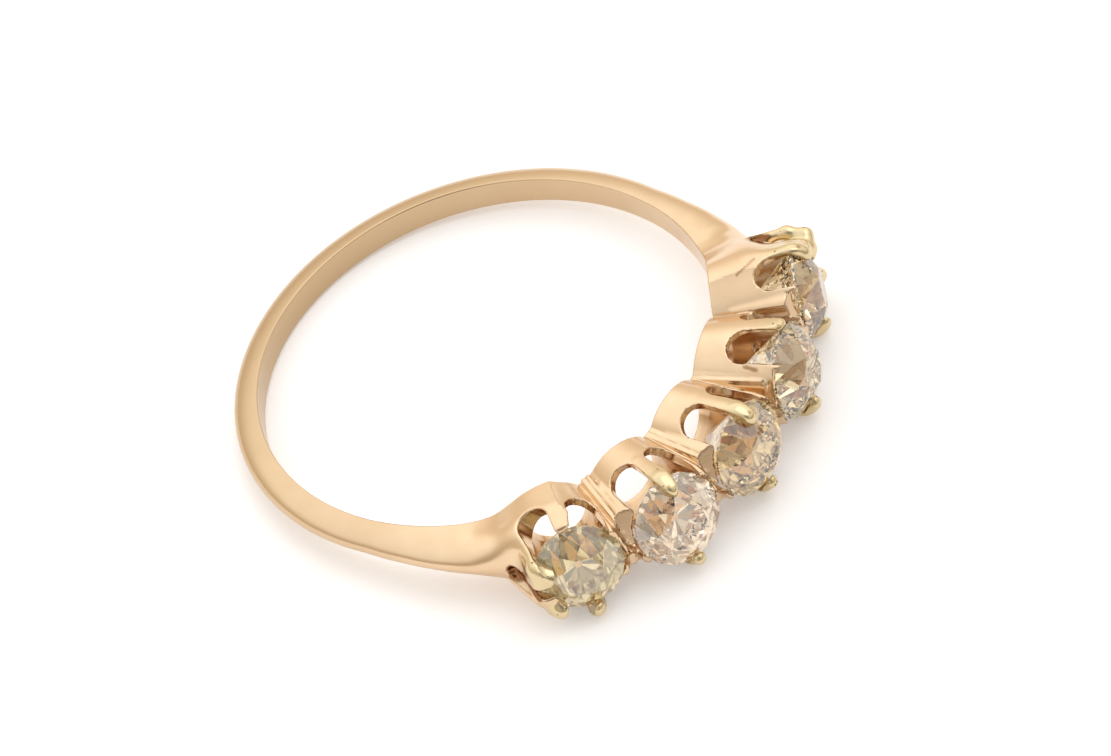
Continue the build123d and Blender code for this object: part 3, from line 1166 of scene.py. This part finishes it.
def diamond(name, tint, roughness):
    """Clear diamond with a tint and, on a worn stone, a trace of roughness."""
    material, tree = new_material(name)
    shader = add(
        tree,
        "ShaderNodeBsdfPrincipled",
        {
            "Base Color": linear(tint),
            "Roughness": roughness,
            "IOR": diamond_index,
            "Transmission Weight": 1.0,
        },
    )
    add(tree, "ShaderNodeOutputMaterial", {"Surface": shader.outputs[0]})
    return material


# Columns: stone, tint, roughness
stone_looks = [
    ("stone_1", "#DFCE9F", 0.05),
    ("stone_2", "#EFDABC", 0.0),
    ("stone_3", "#E0C593", 0.0),
    ("stone_4", "#E3CEA4", 0.0),
    ("stone_5", "#F1DCB2", 0.0),
]
for name, tint, roughness in stone_looks:
    stone = frame["nodes"][name]
    stone.data.materials.clear()
    stone.data.materials.append(diamond("old_cut_diamond_" + name[-1], tint, roughness))
print(len(stone_looks), "diamonds")

# %% [markdown]
# ## A white table
#
# The band lies on a plain white sweep. The sheet is large, so that its edge never shows in a
# reflection, and it touches the lowest point of the CAD solids. The paper glows a little of
# itself, so that it comes out as white as the photograph's, with only a soft shadow on it.

# %% Lay the table
floor_level = min(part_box(name)[0].z for name in frame["nodes"])
table_half = 0.6
paper_glow = 0.24
table_mesh = bpy.data.meshes.new("white_table")
table_mesh.from_pydata(
    [(x * table_half, y * table_half, floor_level) for x, y in ((-1, -1), (1, -1), (1, 1), (-1, 1))],
    [],
    [(0, 1, 2, 3)],
)
white_table = bpy.data.objects.new("white_table", table_mesh)
bpy.context.scene.collection.objects.link(white_table)
paper, tree = new_material("white_paper")
paper_shader = add(
    tree,
    "ShaderNodeBsdfPrincipled",
    {
        "Base Color": linear("#F5F3F2"),
        "Roughness": 0.9,
        "Emission Color": linear("#FFFCFB"),
        "Emission Strength": paper_glow,
    },
)
add(tree, "ShaderNodeOutputMaterial", {"Surface": paper_shader.outputs[0]})
table_mesh.materials.append(paper)
print("table at", round(floor_level * 1000, 2), "mm")

# %% [markdown]
# ## The camera
#
# The photograph was taken from some 46 degrees above the table with a long lens. The angles were
# found by laying circles of the band's real proportions over the finger hole, so they are given
# in the band's own axes and laid down with it. The lens is long, so the far cups are hardly
# smaller than the near ones.

# %% Turn the camera
image_width, image_height = 1111, 756
camera_elevation, camera_azimuth, camera_roll = radians(43.38), radians(-40.18), radians(-20.51)
camera_distance = 301.0
pixels_per_mm = 27.81
centre_pixel = (488.91, 360.15)

towards_camera = np.array(
    [
        cos(camera_elevation) * cos(camera_azimuth),
        cos(camera_elevation) * sin(camera_azimuth),
        sin(camera_elevation),
    ]
)
level_right = np.cross((0, 0, 1), towards_camera)
level_right /= np.linalg.norm(level_right)
level_up = np.cross(towards_camera, level_right)
image_right = cos(camera_roll) * level_right + sin(camera_roll) * level_up
image_up = -sin(camera_roll) * level_right + cos(camera_roll) * level_up
focal_pixels = pixels_per_mm * camera_distance
print("focal length:", round(focal_pixels), "pixels")

# %% Aim the camera
# The band's centre isn't in the middle of the photograph, so the camera looks a little past it
aside = (image_width / 2 - centre_pixel[0]) / focal_pixels
below = (image_height / 2 - centre_pixel[1]) / focal_pixels
view = -towards_camera + aside * image_right - below * image_up
back = -view / np.linalg.norm(view)
right = np.cross(image_up, back)
right /= np.linalg.norm(right)
up = np.cross(back, right)
columns = [Vector(lay_down(axis) * 1000) for axis in (right, up, back)]
print("turned aside by", round(degrees(atan2(aside, 1)), 2), "degrees")

# %% Place the camera
camera_data = bpy.data.cameras.new("camera")
camera_data.sensor_width = 36.0
camera_data.lens = focal_pixels / image_width * camera_data.sensor_width
camera_data.clip_end = 10.0
camera = bpy.data.objects.new("camera", camera_data)
matrix = Matrix(columns).transposed().to_4x4()
matrix.translation = Vector(lay_down(towards_camera * camera_distance))
camera.matrix_world = matrix
bpy.context.scene.collection.objects.link(camera)
bpy.context.scene.camera = camera
camera_height = round(matrix.translation.z * 1000)
print("lens", round(camera_data.lens), "mm, camera", camera_height, "mm above the band")

# %% [markdown]
# ## Light
#
# Jewels are photographed in a tent of white cloth, because polished gold shows everything about
# it. Here the tent is the world: bright overhead and behind, greyer low down on the camera's
# side. The lens looks in through an opening, which is dark, and the stones and flats that face
# the camera mirror it. One large soft light above adds a direction, for the highlights along the
# shank. Lamps alone would leave polished gold black, as it would have nothing to mirror.

# %% Light the tent
brightest_towards = (-0.83, 0.56, 0.0)
opening_towards = (0.505, -0.469, 0.725)
opening_strength = 0.35

world = bpy.data.worlds.new("white_tent")
bpy.context.scene.world = world
world.use_nodes = True
tree = world.node_tree
tree.nodes.clear()
direction = add(tree, "ShaderNodeTexCoord").outputs["Generated"]
height = add(tree, "ShaderNodeSeparateXYZ", {"Vector": direction}).outputs["Z"]
tent_share = add(
    tree,
    "ShaderNodeMapRange",
    {"Value": height, "From Min": -0.2, "From Max": 1.0},
).outputs["Result"]
tent = add(tree, "ShaderNodeValToRGB", {"Fac": tent_share})
ramp = tent.color_ramp
ramp.elements[0].color = linear("#CBBDA8")
ramp.elements[1].color = linear("#FFFFFF")
for position, colour in ((0.2, "#CBBDA8"), (0.42, "#DCD3C6"), (0.62, "#FFFEFC")):
    element = ramp.elements.new(position)
    element.color = linear(colour)
backwards = add(
    tree,
    "ShaderNodeVectorMath",
    {0: direction, 1: brightest_towards},
    operation="DOT_PRODUCT",
).outputs["Value"]
glow = add(
    tree,
    "ShaderNodeMapRange",
    {"Value": backwards, "From Min": -1.0, "From Max": 1.0, "To Min": 0.75, "To Max": 1.6},
).outputs["Result"]
towards_opening = add(
    tree,
    "ShaderNodeVectorMath",
    {0: direction, 1: opening_towards},
    operation="DOT_PRODUCT",
).outputs["Value"]
opening = add(
    tree,
    "ShaderNodeMapRange",
    {
        "Value": towards_opening,
        "From Min": 0.86,
        "From Max": 0.97,
        "To Min": 1.0,
        "To Max": opening_strength,
    },
    interpolation_type="SMOOTHSTEP",
).outputs["Result"]
strength = add(tree, "ShaderNodeMath", {0: glow, 1: opening}, operation="MULTIPLY").outputs[0]
background = add(tree, "ShaderNodeBackground", {"Color": tent.outputs["Color"], "Strength": strength})
add(tree, "ShaderNodeOutputWorld", {"Surface": background.outputs[0]})
print("world:", len(tree.nodes), "nodes")

# %% Hang the soft light

def soft_light(name, position, size, watts):
    """A square area light that faces the band."""
    data = bpy.data.lights.new(name, "AREA")
    data.size = size
    data.energy = watts
    light = bpy.data.objects.new(name, data)
    light.location = position
    light.rotation_euler = Vector(position).to_track_quat("Z", "Y").to_euler()
    bpy.context.scene.collection.objects.link(light)


soft_light("overhead_softbox", (0.05, 0.12, 0.35), 0.25, 0.15)

# %% [markdown]
# ## Colours on the page
#
# The photograph's white is plain white, so the picture is shown without a film curve. In a
# diamond, light is mirrored from facet to facet many times before it comes out, so it is
# followed through more surfaces than usual. With fewer, the stones would look black inside.

# %% Finish
scene = bpy.context.scene
scene.cycles.max_bounces = 32
scene.cycles.transmission_bounces = 24
scene.cycles.glossy_bounces = 16
scene.view_settings.view_transform = "Standard"
scene.view_settings.exposure = 0.0
